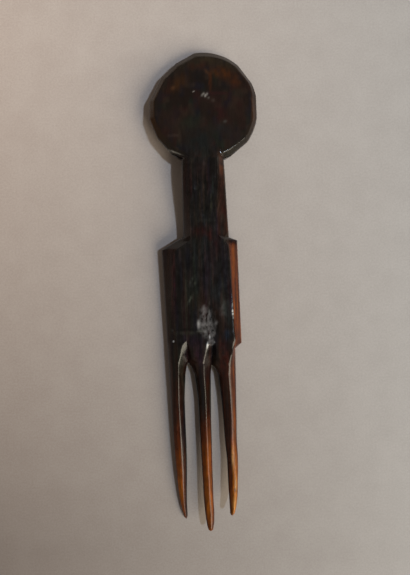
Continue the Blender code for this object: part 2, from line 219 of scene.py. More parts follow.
# Fineness of the skin: columns beside each ridge, and rows. Corners within the join reach are one, folds past
# the crisp angle stay sharp, and the skin keeps clear of the solids' box.
crisp_angle = math.radians(30)
box_clearance = 0.02 * mm
half_columns = 16
head_rows = 120
trunk_row_pitch = 0.55 * mm
tine_rows = 130
join_reach = 0.002 * mm

# Plan of the head's patch: where its far corners lie on the disc, and how its columns draw together past the
# neck to follow the bevel of the rim, as shares of the way across
head_corner = math.radians(52)
head_gathering = 0.14
rim_columns = ((0, 0), (0.2, 0.085), (0.8, 0.915), (1, 1))


def lines(points, places):
    """Straight lines through (place, value) points, read at places."""
    xs, ys = zip(*points)
    return np.interp(places, xs, ys)


def curve(points, places):
    """A smooth curve through the points: each span is a cubic with the mean slopes at its ends."""
    xs, ys = (np.array(part, dtype=float) for part in zip(*points))
    slopes = np.gradient(ys, xs)
    index = np.clip(np.searchsorted(xs, places) - 1, 0, len(xs) - 2)
    span = xs[index + 1] - xs[index]
    t = np.clip((places - xs[index]) / span, 0, 1)
    rise = ys[index + 1] - ys[index]
    start = slopes[index] * span - rise
    end = rise - slopes[index + 1] * span
    return ys[index] + rise * t + t * (1 - t) * (start * (1 - t) + end * t)


def ease(low, high, values):
    """Rises smoothly from 0 at low to 1 at high."""
    t = np.clip((values - low) / (high - low), 0, 1)
    return t * t * (3 - 2 * t)


def soft_least(first, second, width):
    """The lesser of two values, with the corner between them rounded over the width."""
    share = np.clip(0.5 + 0.5 * (second - first) / width, 0, 1)
    return second + (first - second) * share - width * share * (1 - share)


def drifting(layers, x, below, side=0):
    """Sum of layers of smooth noise: strength, pitch across and down in millimetres, and seed.

    Each layer is a lattice of random values, one per pitch, blended in between.
    """
    total = 0
    for strength, across, down, seed in layers:
        lattice = np.random.default_rng(seed + side).uniform(-1, 1, (64, 64))
        u, v = x / (across * mm) + 31.7, below / (down * mm) + 17.3
        column, row = np.floor(u).astype(int), np.floor(v).astype(int)
        s, t = ease(0, 1, u - column), ease(0, 1, v - row)
        near, far = (lattice[column % 64, line % 64] * (1 - s) + lattice[(column + 1) % 64, line % 64] * s
                     for line in (row, row + 1))
        total = total + strength * (near * (1 - t) + far * t)
    return total


def from_spot(x, below, place, low, half_width, half_length, lean=0):
    """Squared distance from the middle of a spot: 1 on its own edge."""
    across = (x - place * mm - lean * (below - low * mm)) / (half_width * mm)
    return across ** 2 + ((below - low * mm) / (half_length * mm)) ** 2


def slot_sides(below, slot):
    """Left and right sides of a slot, which are one line above its apex and part below it."""
    t = np.clip((below - slot_depths[slot]) / slot_heights[slot], 0, 1) ** slot_power
    apex = slot_apexes[slot]
    return apex + (root_rights[slot] - apex) * t, apex + (root_lefts[slot + 1] - apex) * t


def outer_arrises(below):
    """Sideways places of the left and right corners of the face, which end as the outer tines' ridges.

    Their lines' own corners are eased by the mean of readings to both sides.
    """
    arrises = []
    for edge, shares, ridge in ((left_edge, left_arris_shares, root_ridges[0]),
                                (right_edge, right_arris_shares, root_ridges[2])):
        points = [(place * body_length, share * lines(edge, place * body_length)) for place, share in shares]
        points.append((body_length, ridge))
        arris = sum(lines(points, below + arris_easing * step) for step in (-1, -0.5, 0, 0.5, 1)) / 5
        arrises.append(arris + (ridge - arris) * ease(body_length - arris_run_out, body_length, below))
    return arrises


def trunk_lines(below):
    """The lines down the trunk's face: for each tine to come, its left side, ridge and right side."""
    left_arris, right_arris = outer_arrises(below)
    low, high = outer_arrises(np.array([min(slot_depths)]))
    marks = []
    for slot in (0, 1):
        share = (slot_apexes[slot] - low) / (high - low)
        above = left_arris + share * (right_arris - left_arris)
        marks.append([np.where(below < min(slot_depths), above, side) for side in slot_sides(below, slot)])
    t = np.clip((below - ledge_drop) / (body_length - ledge_drop), 0, 1)
    share = middle_ridge_start_share + (ridge_shares[1] - middle_ridge_start_share) * t
    middle_ridge = marks[0][1] + share * (marks[1][0] - marks[0][1])
    return ((lines(left_edge, below), left_arris, marks[0][0]),
            (marks[0][1], middle_ridge, marks[1][0]),
            (marks[1][1], right_arris, lines(right_edge, below)))


def tine_lines(tine, t):
    """Left side, ridge and right side of a tine at shares t of its length."""
    width = root_widths[tine] * curve(width_shares[tine], t)
    centre = (root_lefts[tine] + root_rights[tine]) / 2 + tine_drifts[tine] * curve(drift_shares[tine], t)
    return centre - width / 2, centre + width * (ridge_shares[tine] - 0.5), centre + width / 2


def levels(below):
    """Heights of the back and front: flat below along the body, arched along the neck up to the disc."""
    t = np.clip(-below / neck_length, 0, 1)
    neck_half = (shoulder_thickness + (neck_thickness_at_head - shoulder_thickness) * t) / 2
    rise = (head_end_height - shoulder_thickness / 2) * t * t * (3 - 2 * t)
    neck_middle = shoulder_thickness / 2 + rise + neck_length * math.tan(head_tilt) * t * t * (1 - t)
    body_front = shoulder_thickness + (root_thickness - shoulder_thickness) * below / body_length
    return (np.where(below > 0, 0, neck_middle - neck_half),
            np.where(below > 0, body_front, neck_middle + neck_half))


def bend(u, full):
    """Climb from an edge at 0 to a ridge at 1: straight where full is 0, round-shouldered where it is 1."""
    within = np.clip(u, 0, 1)
    rounded = within + full * flank_round_share * within * (1 - within)
    return rounded + np.maximum(u - 1, 0) * (1 - full * flank_round_share)


def section(x, marks, flanks):
    """Height across a strip as a share of the way from its wall up to its face.

    The two flanks' shortfalls add up. A flank is given by how soft its corner at the face is, how full its
    bend is, how far it reaches and the share by which it has sunk: it starts that far below the face, and
    gains it within that share of the way to the ridge, times its reach.
    """
    left, ridge, right = marks
    places = ((x - left) / np.maximum(ridge - left, join_reach),
              (right - x) / np.maximum(right - ridge, join_reach))
    total = 1
    for place, (softness, full, span, sink) in zip(places, flanks):
        climb = 1 - sink * (1 - bend(place / (np.maximum(sink, 0.001) * span), full))
        total = total - (1 - soft_least(climb, 1, softness))
    return total


def face_height(back, front, place, climb, rounding, side):
    """Height of the front or back at a climb from its wall to its face, with the wall's edge rounded."""
    level = back + (front - back) * lines(wall_level_shares, place)
    wall = (front - back) / 2 * lines(wall_shares, place)
    face = front if side > 0 else back
    return level + side * wall * rounding + (face - level - side * wall) * climb


def edge_rounding(inset):
    """Share of the wall's height gained at an inset from the outline: a quarter of a circle."""
    return np.sqrt(1 - (1 - np.clip(inset / edge_radius, 0, 1)) ** 2)


def disc_outline(angles):
    """Edge of the disc in plan, as places and distances below: an oval, pared to a ring of short flats."""
    def oval(angle):
        return 1 / np.hypot(np.cos(angle) / head_half_width, np.sin(angle) / head_half_height)
    reach = oval(angles)
    for degrees, share in head_flat_shares:
        facing = math.radians(degrees)
        reach = np.minimum(reach, share * oval(facing) / np.maximum(np.cos(angles - facing), 0.2))
    return (reach * np.cos(angles) - side_shift,
            head_centre_below - reach * np.sin(angles) * math.cos(head_tilt))


def outline_parts():
    """The outline in plan as lists of points: the disc's edge, both flanks and the sides of the slots."""
    disc_x, disc_below = disc_outline(np.radians(np.linspace(-68.3, 248, 800)))
    keep = disc_below < -neck_length
    down = np.union1d(np.linspace(-neck_length, body_length, 60), edge_corners)
    ahead = np.linspace(0, 0.2, 40)
    parts = [np.stack((disc_x[keep], disc_below[keep]), axis=1)]
    stretches = [(down, lines(right_edge, down), 2, 2), (down, lines(left_edge, down), 0, 0)]
    for slot in (0, 1):
        inner = slot_depths[slot] + slot_heights[slot] * np.linspace(0, 1, 90) ** 1.6
        left, right = slot_sides(inner, slot)
        stretches += [(inner, left, slot, 2), (inner, right, slot + 1, 0)]
    for below, reach, tine, side in stretches:
        parts.append(np.stack((np.concatenate((reach, tine_lines(tine, ahead)[side])),
                               np.concatenate((below, body_length + ahead * tine_lengths[tine]))), axis=1))
    return parts


def outline_distance(x, below, parts):
    """Distance in plan from each point to the nearest stretch of outline."""
    starts = np.concatenate([part[:-1] for part in parts])
    along = np.concatenate([part[1:] for part in parts]) - starts
    length_squared = np.maximum((along ** 2).sum(axis=1), 1e-18)
    points = np.stack((x.ravel(), below.ravel()), axis=1)
    nearest = []
    for block in range(0, len(points), 4000):
        offset = points[block:block + 4000, None] - starts
        t = np.clip((offset * along).sum(axis=2) / length_squared, 0, 1)
        gap = offset - t[..., None] * along
        nearest.append(np.sqrt((gap ** 2).sum(axis=2).min(axis=1)))
    return np.concatenate(nearest).reshape(x.shape)


def strip_places(marks):
    """Places across a strip, one row for each station, crowded at its two sides and its ridge."""
    left, ridge, right = (np.asarray(line, dtype=float)[:, None] for line in marks)
    share = (1 - np.cos(np.linspace(0, math.pi, half_columns + 1))) / 2
    return np.concatenate((left + (ridge - left) * share, (ridge + (right - ridge) * share)[:, 1:]), axis=1)


def carved_marks(x, below, side):
    """Knife marks in metres: strokes on neck and body, dabs on the disc, knobs on the tines, and hollows."""
    head = ease(-neck_length + 4 * mm, -neck_length - 8 * mm, below)
    on_tines = ease(15 * mm, 45 * mm, below - body_length)
    marks = sum(share * drifting(layers, x, below, side) for layers, share in (
        (knife_strokes, 1 - 0.6 * head), (knife_dabs, head), (knife_knobs, on_tines)))
    if side > 0:
        for *oval, depth in hollows:
            marks = marks - depth * np.exp(-from_spot(x, below, *oval) ** 1.5)
    return marks * mm


def head_plan(columns_x):
    """Plan of the head: a patch blended from its four sides, so that its lines follow the rim.

    The far side is the arc over the top, the near side the neck's end, and the others are the disc's flanks.
    """
    v = np.linspace(0, 1, head_rows + 1)
    v = 0.2 * v + 0.8 * np.sin(v * math.pi / 2)
    u = (columns_x - columns_x[0]) / (columns_x[-1] - columns_x[0])
    at_rim = lines(rim_columns, np.linspace(0, 1, len(u)))
    u = u + (at_rim - u) * ease(0, head_gathering, v)[:, None]
    dense = np.linspace(-80, 260, 1400)
    disc_x, _ = disc_outline(np.radians(dense))
    sides, ends = [], []
    for reach, low, high, top in ((-neck_left_reach, 210, 260, math.pi - head_corner),
                                  (neck_right_reach, -80, -30, head_corner)):
        near = (dense > low) & (dense < high)
        order = np.argsort(disc_x[near])
        foot = math.radians(np.interp(reach, disc_x[near][order], dense[near][order]))
        side = np.stack(disc_outline(foot + (top - foot) * v))
        side = side + (np.array([[reach], [-neck_length]]) - side[:, :1]) * (1 - v) ** 12
        sides.append(side[:, :, None])
        ends.append(side[:, -1, None, None])
    far = np.stack(disc_outline(math.pi - head_corner + (2 * head_corner - math.pi) * u))
    plan = sides[0] * (1 - u) + sides[1] * u + (far - ends[0] * (1 - u) - ends[1] * u) * v[:, None]
    return plan[0], plan[1]


def head_height(x, below, inset, side, columns, climbs):
    """Height of the head's front or back: a bevelled, slightly crowned disc that swells to meet the neck.

    It starts as the neck's own section, whose climbs at its columns are given.
    """
    middle = head_end_height + (below + neck_length) * math.tan(head_tilt)
    away_x, away_y = x + side_shift, (head_centre_below - below) / math.cos(head_tilt)
    from_centre = np.hypot(away_x / head_half_width, away_y / head_half_height)
    angles = np.degrees(np.arctan2(away_y, away_x))
    crown = (head_front_crown if side > 0 else head_back_crown) * np.clip(1 - from_centre ** 2, 0, 1)
    half = neck_thickness_at_head / 2
    ahead = -neck_length - below
    swelling = (half - head_face_half) * np.exp(-(x / swell_width) ** 2 - (ahead / swell_reach) ** 2)
    climb = soft_least(inset / (curve(rim_bevels, angles) * mm), 1, lines(rim_softness, angles))
    face = head_face_half + crown + swelling
    disc = head_rim_half * edge_rounding(inset) + (face - head_rim_half) * climb
    wall = lines(wall_shares, -neck_length / body_length) * half
    neck = wall * edge_rounding(inset) + (half - wall) * np.interp(x, columns, climbs)
    inward = ease(neck_left_reach, neck_left_reach - neck_side_width, np.abs(x))
    takeover = takeover_at_side + (takeover_at_middle - takeover_at_side) * inward
    return middle + side * (neck + (disc - neck) * ease(0, 1, ahead / takeover))


def trunk_climb(x, below, strip, marks, side):
    """Climb across one strip of the neck and body, with the grooves that lead into the slots.

    A groove's sink is 0 where the groove starts and 1 at its slot's apex.
    """
    run = groove_runs[side]
    sinks = [np.clip((below - depth + run) / run, 0, 1) ** power
             for depth, power in zip(slot_depths, groove_powers)]
    flanks = []
    for wall, slot in ((1, strip - 1), (0, strip)):
        if slot in (0, 1):
            softness, full, span = (lines(table, sinks[slot]) for table in groove_walls[slot][wall])
            flanks.append((np.maximum(softness * sinks[slot], least_softness), full, span, sinks[slot]))
        else:
            softness = np.maximum(lines(arris_softness[strip // 2], below / body_length), least_softness)
            full = np.maximum(*sinks) * (1 if strip == 0 else right_flank_bends[0][1])
            flanks.append((softness, full, 1, 1))
    return section(x, marks, flanks)


def ledge_step(x, below):
    """Depth of the lesser ledge low on the front: whole on the left slot's line, and none on the arrises."""
    (_, left_arris, slot_line), (_, middle_ridge, right_line), _ = trunk_lines(below)
    across = np.where(x < slot_line, (x - left_arris) / (slot_line - left_arris),
                      np.where(x < middle_ridge, 1 - 0.5 * (x - slot_line) / (middle_ridge - slot_line),
                               0.5 * (right_line - x) / (right_line - middle_ridge)))
    fade = 1 - np.clip((below - ledge_drop) / (body_length - ledge_drop), 0, 1)
    return (ledge_depth * ease(ledge_drop + ledge_start, ledge_drop + ledge_end, below)
            * fade * np.clip(across, 0, 1))


def trunk_height(x, below, strip, marks, inset, side):
    """Height of the neck's or body's front or back."""
    back, front = levels(below)
    climb = trunk_climb(x, below, strip, marks, side)
    z = face_height(back, front, below / body_length, climb, edge_rounding(inset), side)
    if side > 0:
        z = z - ledge_step(x, below) * np.clip(climb, 0, 1)
    return z


def tine_height(x, t, tine, marks, inset, side):
    """Height of a tine's front or back: a rounded edge, a flank that bends over, and a ridge."""
    thickness = root_thickness * curve(thickness_shares, t)
    middle = root_thickness / 2 + tine_rises[tine] * t ** tine_rise_powers[tine]
    softness = [start + (tip_softness - start) * ease(*tip_softening, t) for start in ridge_softness[tine]]
    climb = section(x, marks, ((softness[0], 1, 1, 1), (softness[1], lines(right_flank_bends, t), 1, 1)))
    half_width = np.maximum((marks[2] - marks[0]) / 2, join_reach)
    rounding = edge_rounding(inset * np.maximum(1, edge_radius / (tine_edge_share * half_width)))
    return face_height(middle - thickness / 2, middle + thickness / 2, 1, climb, rounding, side)


def stations():
    """Rows of the trunk: every line where its form changes, and steps of a row pitch in between."""
    marks = {*edge_corners, ledge_drop, *slot_depths}
    for depth in slot_depths:
        marks.update(depth - edge_radius * share for share in (0.15, 0.5, 1))
        marks.update(depth - run + run * share for run in groove_runs.values() for share in (0, 0.01, 0.03))
    marks = sorted(marks)
    rows = [marks[0]]
    for low, high in zip(marks, marks[1:]):
        count = max(1, math.ceil((high - low) / trunk_row_pitch))
        rows.extend(low + (high - low) * step / count for step in range(1, count + 1))
    return np.array(rows)


def sheet_faces(rows, columns, start, flip):
    """Four-cornered faces of a grid of rows and columns whose first corner has the given number."""
    index = start + np.arange(rows * columns).reshape(rows, columns)
    quads = np.stack((index[:-1, :-1], index[:-1, 1:], index[1:, 1:], index[1:, :-1]), axis=-1).reshape(-1, 4)
    return quads[:, ::-1] if flip else quads


def joined(rows):
    """Three strips' rows end to end, without the places that they share."""
    return np.concatenate((rows[0], rows[1][1:], rows[2][1:]))


def two_sides(part, strip, x, below, inset, height):
    """A front and a back patch, whose heights are found for the side 1 and the side -1.

    The inset of a point is its distance in from the outline.
    """
    return [SimpleNamespace(part=part, strip=strip, side=side, x=x, below=below, inset=inset, z=height(side))
            for side in (1, -1)]


def head_patches(parts, start, strips):
    """Front and back of the head, whose columns carry on from the neck's three strips."""
    starts = [[line[:1] for line in marks] for marks in strips]
    rows = [strip_places(marks)[0] for marks in starts]
    columns = joined(rows)
    x, below = head_plan(columns)
    inset = outline_distance(x, below, parts)
    inset[:, [0, -1]] = inset[-1] = 0

    def height(side):
        climbs = [trunk_climb(row[None], start, strip, [line[:, None] for line in starts[strip]], side)[0]
                  for strip, row in enumerate(rows)]
        return head_height(x, below, inset, side, columns, joined(climbs))

    return two_sides("head", None, x, below, inset, height)


def trunk_patches(parts, below, strips):
    """Fronts and backs of the neck and body, one strip for each tine to come."""
    patches = []
    for strip, marks in enumerate(strips):
        x = strip_places(marks)
        rows = below[:, None] + 0 * x
        marks = [line[:, None] for line in marks]
        inset = outline_distance(x, rows, parts)
        for column, slot in ((0, strip - 1), (-1, strip)):
            on_outline = below >= (slot_depths[slot] if slot in (0, 1) else -neck_length)
            inset[on_outline, column] = 0
        patches += two_sides("trunk", strip, x, rows, inset,
                             lambda side: trunk_height(x, rows, strip, marks, inset, side))
    return patches


def tine_patches(parts):
    """Fronts and backs of the tines, with rows that crowd towards the tips."""
    patches = []
    t = 1 - (1 - np.linspace(0, 1, tine_rows + 1)) ** 1.5
    for tine in range(3):
        marks = tine_lines(tine, t)
        x = strip_places(marks)
        marks = [line[:, None] for line in marks]
        rows = body_length + t[:, None] * tine_lengths[tine] + 0 * x
        inset = np.minimum(x - marks[0], marks[2] - x)
        inset[0, 1:-1] = outline_distance(x[:1, 1:-1], rows[:1, 1:-1], parts)
        patches += two_sides("tine", tine, x, rows, inset,
                             lambda side: tine_height(x, t[:, None], tine, marks, inset, side))
    return patches


def comb_patches():
    """Plan and height of every patch of the skin, each front followed by its back.

    The knife marks fade out towards the outline, where front and back meet half way.
    """
    parts = outline_parts()
    below = stations()
    strips = trunk_lines(below)
    patches = head_patches(parts, below[:1, None], strips) + trunk_patches(parts, below, strips)
    patches += tine_patches(parts)
    for patch in patches:
        inside = np.clip(patch.inset / (2 * mm), 0, 1)
        patch.z = patch.z + carved_marks(patch.x, patch.below, patch.side) * inside
        patch.z = np.clip(patch.z, cad_box[0][2] + box_clearance, cad_box[1][2] - box_clearance)
    for front, back in zip(patches[::2], patches[1::2]):
        middle = (front.z + back.z) / 2
        for patch in (front, back):
            patch.z = np.where(patch.inset <= 0, middle, patch.z)
    return patches


# Tones of the wood as its patina wears off: level of wear and colour
wear_tones = ((0, "#101010"), (0.1, "#161210"), (0.2, "#22110a"), (0.32, "#33160a"), (0.48, "#4f2004"),
              (0.62, "#723702"), (0.8, "#8c4e0a"), (1, "#a26216"))

# Levels of wear off the tines, what the right and left roots add to the flats, and the right bevel's level
# with what the body adds to it. Then how much darker the tines' sides stay.
disc_wear, flat_wear, left_bevel_wear = 0.13, 0.05, 0.19
root_wears = (0.21, 0.14)
right_bevel_wears = (0.15, 0.29)
tine_side_patina = 0.24

# Wear along each tine on its left and right flanks, as shares of its length and levels
tine_wear = (
    (((0, 0.2), (0.2, 0.27), (0.4, 0.38), (0.55, 0.58), (0.8, 0.72), (0.93, 0.6), (1, 0.46)),
     ((0, 0.17), (0.2, 0.19), (0.4, 0.22), (0.55, 0.26), (0.8, 0.36), (0.93, 0.38), (1, 0.38))),
    (((0, 0.19), (0.2, 0.24), (0.34, 0.45), (0.5, 0.6), (0.8, 0.68), (1, 0.64)),
     ((0, 0.2), (0.2, 0.27), (0.34, 0.5), (0.5, 0.62), (0.8, 0.68), (1, 0.66))),
    (((0, 0.26), (0.2, 0.27), (0.45, 0.3), (0.62, 0.38), (0.8, 0.5), (1, 0.78)),
     ((0, 0.52), (0.25, 0.54), (0.45, 0.61), (0.65, 0.76), (0.85, 0.91), (1, 0.9))))

# Layers of drifting noise that make the wear streaky, the spots ragged, the disc smoky and the scar torn
tine_streaks = ((0.05, 1.6, 9, 41),)
bevel_streaks = ((0.14, 0.8, 14, 43), (0.08, 1.5, 5, 45))
spot_rags = ((0.45, 1.1, 2.2, 81),)
disc_smoke = ((1, 6, 7, 71),)
scar_tears = ((0.35, 1.6, 4, 31), (0.3, 0.8, 2.5, 33))

# Hues that drift through the dark wood: colour, pitch in millimetres, seed and strength
drifting_hues = (("#2b1413", 3.4, 61, 0.55), ("#171d17", 3, 63, 0.55),
                 ("#12131d", 2.6, 65, 0.5), ("#2c211a", 2.1, 67, 0.45))

# Browns round the disc's rim: colour, the way they face in degrees and how wide they spread
rim_hues = (("#35261c", 90, 60), ("#40270f", 180, 55), ("#40270f", -180, 55),
            ("#1c1813", -118, 32), ("#201d16", -48, 40), ("#291b15", 10, 45))

# The scar, a worn patch whose grey is partly painted sheen, and a patch of painted sheen to its right: spots
# with their strengths, and the spot where it is weaker
scar_and_sheen_parts = ((0.9, 41.5, 4.2, 9, 0.75), (8.8, 35.4, 1.3, 4.2, 0.2),
              (-2.7, 43.2, 1.4, 4.6, 0.7), (2.6, 50, 1.7, 3.4, 0.65))
scar_gap = (3.6, 38.5, 1.8, 3.4)

# Stains and worn places of the front, with painted highlights, painted sheen and painted shade among them as
# marked: spots with their strengths and colours
stains_and_painted_light = (
    (-11.5, -83, 8, 3.4, -0.5, 0.8, "#2f2519"), (1, -87, 12, 3.2, 0.85, "#342a1c"),
    (14, -83, 8, 3.4, 0.5, 0.75, "#2b2419"), (-11, -73.5, 3.6, 4.6, -0.5, 0.85, "#38200d"),
    (-1.4, -81.6, 3.4, 2.2, 0.65, "#3a200f"), (9.2, -78.8, 4.6, 3.2, 0.2, 0.9, "#43240d"),
    (14.7, -75, 3.6, 4, 0.4, 0.9, "#44220c"), (4.3, -74, 0.7, 5.2, 0.85, "#4a250f"),
    (-17.5, -70, 2.6, 5, -0.4, 0.45, "#2c1710"), (-1.6, -77.6, 2.6, 4.4, 0.8, "#0e1012"),
    (11.8, -72.2, 3.4, 2.6, 0.7, "#121316"), (7.4, -68, 6, 0.9, 0.6, "#331417"),
    (8, -60, 3.6, 6.5, 0.45, "#2a1313"), (18, -61, 4.4, 9.5, 0.65, "#261a15"),
    (-17.9, -62.7, 3.2, 3, 0.65, "#131b15"), (-15.6, -53.8, 5.4, 5.6, 0.75, "#2a1c18"),
    (-21.5, -56.2, 1.2, 5, 0.6, "#15161f"), (-5.4, -53.7, 5, 4.2, -0.4, 0.75, "#22241c"),
    (-3, -61, 1.7, 6.5, 0.7, "#10151a"), (15, -47, 5.5, 5, 0.3, 0.7, "#20181a"),
    (8.5, -50.5, 3.8, 3.2, 0.5, "#1a1e20"), (24.6, -59.5, 1, 6.5, 0.45, "#4a2e1a"),
    (-10.9, -47, 0.8, 4.4, 0.1, 0.7, "#3c2f26"), (-13.8, -47.4, 2.6, 0.8, 0.5, "#463a34"),
    (-13.5, -71.2, 1, 1, 0.6, "#5a3a24"), (2.6, -79.4, 0.8, 1.4, 0.4, 0.6, "#5a3a20"),
    # painted highlights: the six pale spots on this line and the next two are glints on the disc's face
    (-3.8, -69.2, 0.32, 0.32, 0.95, "#8c8680"), (0.5, -67.4, 0.5, 0.9, -0.5, 0.95, "#b0aaa4"),
    (2.2, -67.2, 0.5, 0.9, -0.4, 0.95, "#b4aea8"), (3.2, -65.8, 0.5, 0.5, 0.75, "#857f79"),
    (5.4, -64.5, 0.9, 0.9, 0.35, "#544c46"), (11, -54, 0.7, 0.7, 0.4, "#70706c"),
    (-0.9, -31.3, 4.6, 5.6, 0.4, "#241516"), (8.8, -31.5, 1.1, 6.5, 0.1, 0.75, "#4c2a18"),
    # the second spot is a painted highlight along the disc's lower left rim
    (-1, -42.5, 7.5, 8, 1.1, "#171a1a"), (-13.4, -39.9, 0.7, 1.5, 2.2, 0.95, "#9a958c"),
    (-13.5, 3.6, 7, 2.6, 0.85, "#171815"), (-8.8, -16, 1.7, 19, 0.85, "#18090b"),
    (9.6, -12, 2, 16, 0.06, 0.85, "#220c08"), (11.3, -6, 0.5, 7, 0.02, 0.6, "#4a2818"),
    (10.6, 0.6, 0.4, 2.2, -0.4, 0.7, "#57534a"), (11.8, 1, 0.35, 1.8, -0.4, 0.6, "#57534a"),
    # the first spot is painted shade in the small dent on the neck
    (0.7, -11.4, 2.4, 2.6, 0.8, "#0a0b0a"), (-0.2, -7.2, 4.6, 0.9, 0.45, "#272825"),
    (3.7, -15.5, 0.45, 4, 0.6, "#3c3b2c"), (-4.4, -17, 0.5, 4, 0.75, "#070807"),
    (-3.4, -21.8, 0.8, 0.7, 0.35, "#34342f"), (0.6, -25.5, 1, 2.6, 0.3, 0.7, "#080908"),
    (0.6, -33, 0.5, 2.4, 0.65, "#3a3030"), (-2, -2.2, 4.2, 2.6, 0.55, "#2a0e0c"),
    (2.8, -0.6, 1.2, 3.6, 0.6, "#3a1614"), (6, 4, 2, 6, 0.55, "#2a1216"),
    (2.1, 13, 3.4, 10, 0.5, "#20121a"), (-15.4, 22, 1.3, 22, 0.02, 0.6, "#321116"),
    (-6.2, 21, 0.5, 2, -0.5, 0.6, "#3c403a"), (-7.4, 30.6, 0.5, 2.8, -0.55, 0.6, "#44483f"),
    # the second spot is painted sheen on the body's face
    (-5, 22.8, 0.4, 1.4, -0.4, 0.5, "#383b34"), (6.2, 27.5, 3, 3.8, 0.6, "#23282a"),
    # the first spot is painted sheen beside the scar
    (9, 35.4, 1.4, 4.4, 0.12, 0.55, "#353b38"), (7, 39.8, 2.6, 6.4, 0.3, 0.8, "#24150e"),
    # painted shadow line along the ledge, then the lighter band under the step, also painted light
    (-8.6, 44.9, 7.2, 0.45, 0.85, "#060706"), (-9, 46.6, 6.4, 0.8, 0.45, "#2a2b25"),
    # the first spot carries on the ledge's painted lit band; the second is a painted highlight at the scar's
    # left edge
    (-2.2, 45.7, 2, 0.45, 0.75, "#4a4c44"), (-3, 42.6, 0.35, 1.8, 0.05, 1.2, "#e0e0e0"),
    # painted highlights: both spots here and the first on the next line, at the top of the right slot and the
    # middle ridge
    (1.9, 48.7, 0.3, 1, 1, "#b4b8bc"), (4, 51.2, 0.3, 0.5, 0.7, "#8c8e90"),
    (0.65, 52.6, 0.35, 1.5, -0.1, 1.1, "#e0e2e4"), (-6.2, 50.6, 6.5, 2.6, 0.55, "#17121c"),
    # both spots are painted highlights: small glints low on the body's left
    (-15.8, 50.6, 0.4, 0.4, 1.4, "#e4e8ea"), (-16.2, 45.2, 0.6, 0.6, 0.8, "#4c504c"),
    (8.6, 60, 2.6, 10, 0.05, 0.9, "#300c07"), (-3.8, 55.5, 2.2, 6, 0.15, 0.6, "#281420"),
    # the second spot is a painted highlight on the body's right arris
    (10.4, 47.6, 1.4, 2.6, 0.65, "#12202e"), (13.1, 36.2, 0.28, 0.5, 1.2, "#d8d8d4"),
    # both spots are painted highlights on the body's right arris
    (13.2, 37.7, 0.28, 0.6, 1.2, "#d8d8d4"), (13.3, 39.4, 0.24, 0.4, 1, "#c8c8c4"),
    # a painted highlight, then a painted teal sheen along the right arris
    (13, 33.4, 0.25, 1, 0.8, "#8c9090"), (11.2, 34.8, 0.8, 6.4, 0.03, 0.6, "#10282a"),
    # the first spot is painted violet sheen along the right arris
    (12.1, 30, 0.3, 8, 0.02, 0.5, "#2c1830"), (12.4, 122.2, 0.55, 0.9, 0.9, "#2a1408"),
    (13.2, 119.6, 0.5, 3.2, 0.45, "#d0a468"), (11.9, 108, 0.6, 5.5, 0.45, "#d2a870"),
    (12.2, 128.5, 1, 3, 0.45, "#c89a58"))


def tone(level):
    """Linear colour of the wood at a level of wear, mixed between the tones to each side."""
    worn, codes = zip(*wear_tones)
    channels = zip(*(linear(code)[:3] for code in codes))
    return np.stack([np.interp(level, worn, channel) for channel in channels], axis=-1)


def tinted(colour, share, code):
    """The colours moved by a share towards one colour."""
    share = np.clip(share, 0, 1)[..., None]
    return colour + (np.array(linear(code)[:3]) - colour) * share


def wear(patch):
    """Level of wear: least on the black faces, more on the bevels, and most at the right tine's end."""
    x, below = patch.x, patch.below
    if patch.part == "tine":
        tine = patch.strip
        t = (below - body_length) / tine_lengths[tine]
        left, ridge, right = tine_lines(tine, t)
        line = ridge - (0.2 * ease(0.3, 0.6, t) * (right - left) if tine == 2 else 0)
        on_right = ease(-0.12, 0.12, (x - line) / np.maximum(right - left, join_reach))
        on_left, worn = (lines(side, t) for side in tine_wear[tine])
        beside = ease(0.9 * mm, 0.2 * mm, patch.inset) * ease(1, 0.95, t)
        level = on_left + (worn - on_left) * on_right + drifting(tine_streaks, x, below)
        return level - tine_side_patina * beside
    if patch.part == "head":
        return np.full_like(x, disc_wear)
    left_arris, right_arris = outer_arrises(below)
    on_left = ease(left_arris + 0.3 * mm, left_arris - 0.5 * mm, x)
    on_right = ease(right_arris - 0.3 * mm, right_arris + 0.5 * mm, x)
    on_body = ease(2 * mm, 5 * mm, below)
    flats = flat_wear + ease(46 * mm, body_length, below) * np.where(x > slot_apexes[1], *root_wears)
    on_neck, added = right_bevel_wears
    bevel = on_neck + (added + drifting(bevel_streaks, x, below)) * on_body
    return flats + on_left * (left_bevel_wear - flats) + on_right * (bevel - flats)


def wood_colour_with_painted_light(patch):
    """Linear colour of the wood: its tone of wear, drifting hues, the rim's own browns, and the spots, among
    them painted glints, painted sheen and painted shade.
    """
    x, below, head = patch.x, patch.below, patch.part == "head"
    level = wear(patch)
    colour = tone(level)
    dark = ease(0.4, 0.15, level)
    for code, pitch, seed, strength in drifting_hues:
        across, down = (pitch, 1.7 * pitch) if head else (0.45 * pitch, 5.5 * pitch)
        drift = drifting(((1, across, down, seed),), x, below, patch.side)
        colour = tinted(colour, dark * strength * (1.4 if head else 1) * ease(0.05, 0.75, drift), code)
    if head:
        away = np.degrees(np.arctan2(head_centre_below - below, x))
        rim = ease(3.3 * mm, 2.3 * mm, patch.inset) * ease(0, 3 * mm, -neck_length - below)
        colour = tinted(colour, 0.55 * ease(-0.4, 0.9, drifting(disc_smoke, x, below)), "#241a15")
        for code, facing, width in rim_hues:
            colour = tinted(colour, 0.85 * rim * np.exp(-((away - facing) / width) ** 4), code)
    if patch.side > 0:
        ragged = 0.75 + drifting(spot_rags, x, below)
        # the spots hold stain marks and worn places, and also painted glints, painted sheen and painted shade
        for *oval, strength, code in stains_and_painted_light:
            share = strength * ragged * np.exp(-from_spot(x, below, *oval) ** 1.4)
            colour = tinted(colour, share, code)
    return colour


